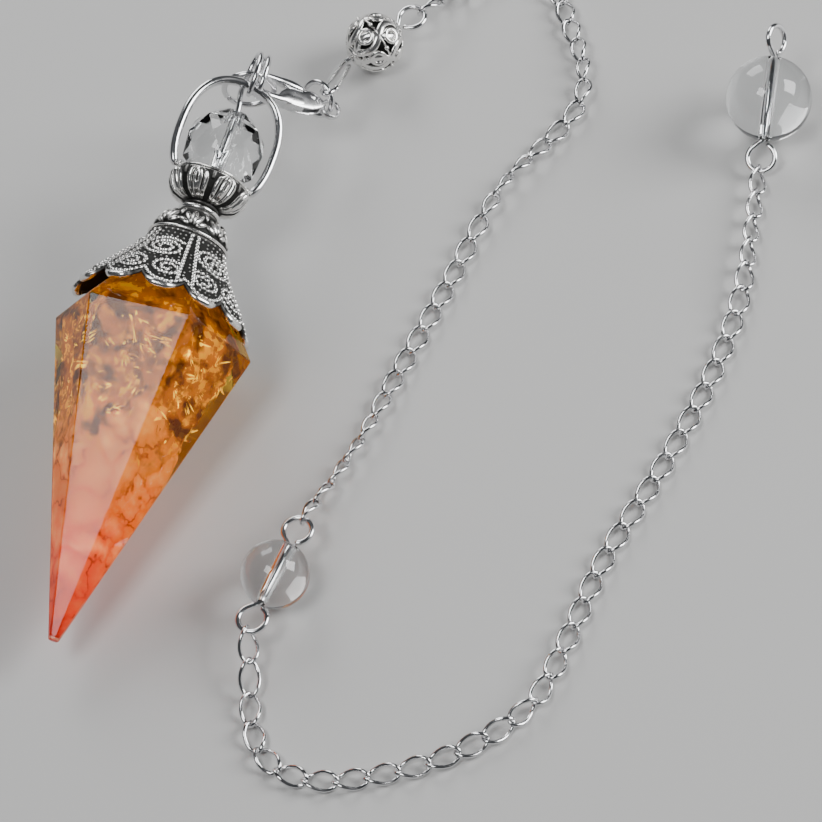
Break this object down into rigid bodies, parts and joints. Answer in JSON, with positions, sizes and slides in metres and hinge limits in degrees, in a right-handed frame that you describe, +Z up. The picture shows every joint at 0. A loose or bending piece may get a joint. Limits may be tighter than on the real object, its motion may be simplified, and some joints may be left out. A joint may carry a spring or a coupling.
{
  "type": "pendulum pendant",
  "caption": "Six-sided pointed amber stone in an antiqued filigree cap with lotus cup and hoop, on a fine chain with clear beads and a pierced bead.",
  "frame": {"origin": "middle of the footprint, on the surface that the object lies on", "axes": "+Z up, +Y along the pendant from its tip to its hoop as seen from above, +X towards the free end of the chain"},
  "size_m": [0.0774, 0.1168, 0.022],
  "materials": {
    "stone_resin": "polished translucent amber with crackle flecks, red at the tip",
    "antique_silver": "antiqued silver plate, dark in the recesses, bright on the ropes",
    "bright_silver": "bright silver plate",
    "clear_glass": "clear polished glass"
  },
  "bodies": {
    "pendant": {"stone": "stone_resin", "filigree_cap": "antique_silver", "hoop": "bright_silver", "faceted_bead": "clear_glass", "bead_pin": "bright_silver", "clasp_ring": "bright_silver", "clasp_body": "bright_silver", "jump_ring": "bright_silver", "filigree_bead": "antique_silver", "filigree_pin": "bright_silver", "upper_chain": "bright_silver", "middle_bead": "clear_glass", "middle_pin": "bright_silver", "tail_chain": "bright_silver", "end_bead": "clear_glass", "end_pin": "bright_silver"},
    "lever": {"clasp_lever": "bright_silver"}
  },
  "joints": [
    {"name": "lever_hinge", "type": "hinge", "parent": "pendant", "child": "lever", "pos_m": [-0.02031, 0.027, 0.00857], "axis": [0.5683, 0.1356, 0.8115], "range_deg": [0, 10], "stiffness_Nm_per_rad": 0.01, "springref_deg": -17.19}
  ]
}
